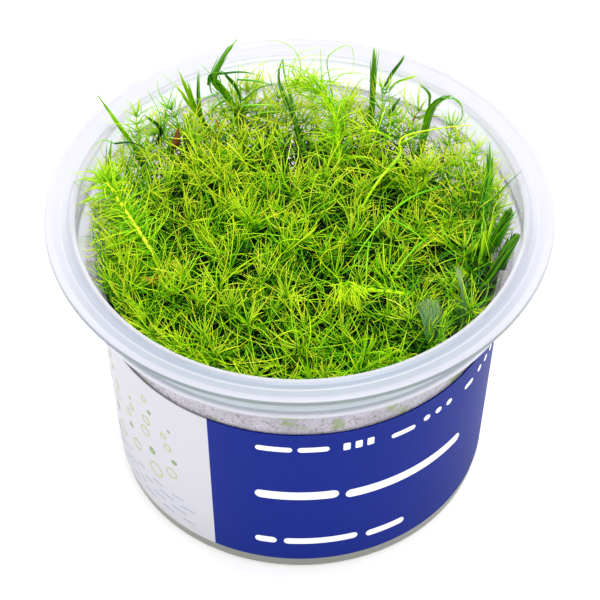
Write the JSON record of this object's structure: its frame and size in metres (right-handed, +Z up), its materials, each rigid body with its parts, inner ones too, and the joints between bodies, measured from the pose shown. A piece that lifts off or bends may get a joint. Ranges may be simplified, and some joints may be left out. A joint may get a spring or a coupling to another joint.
{
  "type": "potted aquarium plant",
  "caption": "Round milky propagation cup with a wide flange and a printed band, holding culture gel and a dense cushion of fine needle-leaved green plantlets.",
  "frame": {"origin": "middle of the cup's flat underside", "axes": "+Z up, out of the cup's mouth; -Y towards the pictured side, where the printed panel changes colour left of the middle"},
  "size_m": [0.1, 0.1, 0.0779],
  "materials": {
    "cup_plastic": "moulded, milky and translucent",
    "label_film": "satin printed film, blue and off-white panels",
    "culture_gel": "moist, cloudy",
    "wet_leaves": "wet needles stuck in points",
    "young_leaves": "yellow-green, slightly glossy",
    "fresh_leaves": "lime green, slightly glossy"
  },
  "bodies": {
    "root": {"cup": "cup_plastic", "label_band": "label_film", "culture_gel": "culture_gel", "knotted_brush_shoot": "wet_leaves", "back_brush_shoot": "wet_leaves", "blunt_brush_shoot": "wet_leaves", "hooked_brush_shoot": "wet_leaves", "right_brush_shoot": "wet_leaves", "right_rim_brush_shoot": "wet_leaves", "front_rim_brush_shoot": "wet_leaves", "right_lying_brush_shoot": "wet_leaves", "front_lying_brush_shoot": "wet_leaves", "left_rim_brush_shoot": "wet_leaves", "left_tall_shoot": "wet_leaves", "plume_shoot": "young_leaves", "curled_shoot": "young_leaves", "long_bare_stem": "young_leaves", "lying_shoot": "young_leaves", "leafy_shoot_01": "fresh_leaves", "leafy_shoot_02": "fresh_leaves", "leafy_shoot_03": "fresh_leaves", "leafy_shoot_04": "fresh_leaves", "leafy_shoot_05": "fresh_leaves", "leafy_shoot_06": "fresh_leaves", "leafy_shoot_07": "fresh_leaves", "leafy_shoot_08": "fresh_leaves", "leafy_shoot_09": "fresh_leaves", "leafy_shoot_10": "fresh_leaves", "leafy_shoot_11": "fresh_leaves", "leafy_shoot_12": "fresh_leaves", "leafy_shoot_13": "fresh_leaves", "leafy_shoot_14": "fresh_leaves", "leafy_shoot_15": "fresh_leaves", "leafy_shoot_16": "fresh_leaves", "leafy_shoot_17": "fresh_leaves", "leafy_shoot_18": "fresh_leaves", "leafy_shoot_19": "fresh_leaves", "leafy_shoot_20": "fresh_leaves", "leafy_shoot_21": "fresh_leaves", "leafy_shoot_22": "fresh_leaves", "leafy_shoot_23": "fresh_leaves", "leafy_shoot_24": "fresh_leaves", "leafy_shoot_25": "fresh_leaves", "leafy_shoot_26": "fresh_leaves", "leafy_shoot_27": "fresh_leaves", "leafy_shoot_28": "fresh_leaves", "leafy_shoot_29": "fresh_leaves", "leafy_shoot_30": "fresh_leaves", "leafy_shoot_31": "fresh_leaves", "leafy_shoot_32": "fresh_leaves", "leafy_shoot_33": "fresh_leaves", "leafy_shoot_34": "fresh_leaves", "leafy_shoot_35": "fresh_leaves", "leafy_shoot_36": "fresh_leaves"}
  },
  "joints": []
}
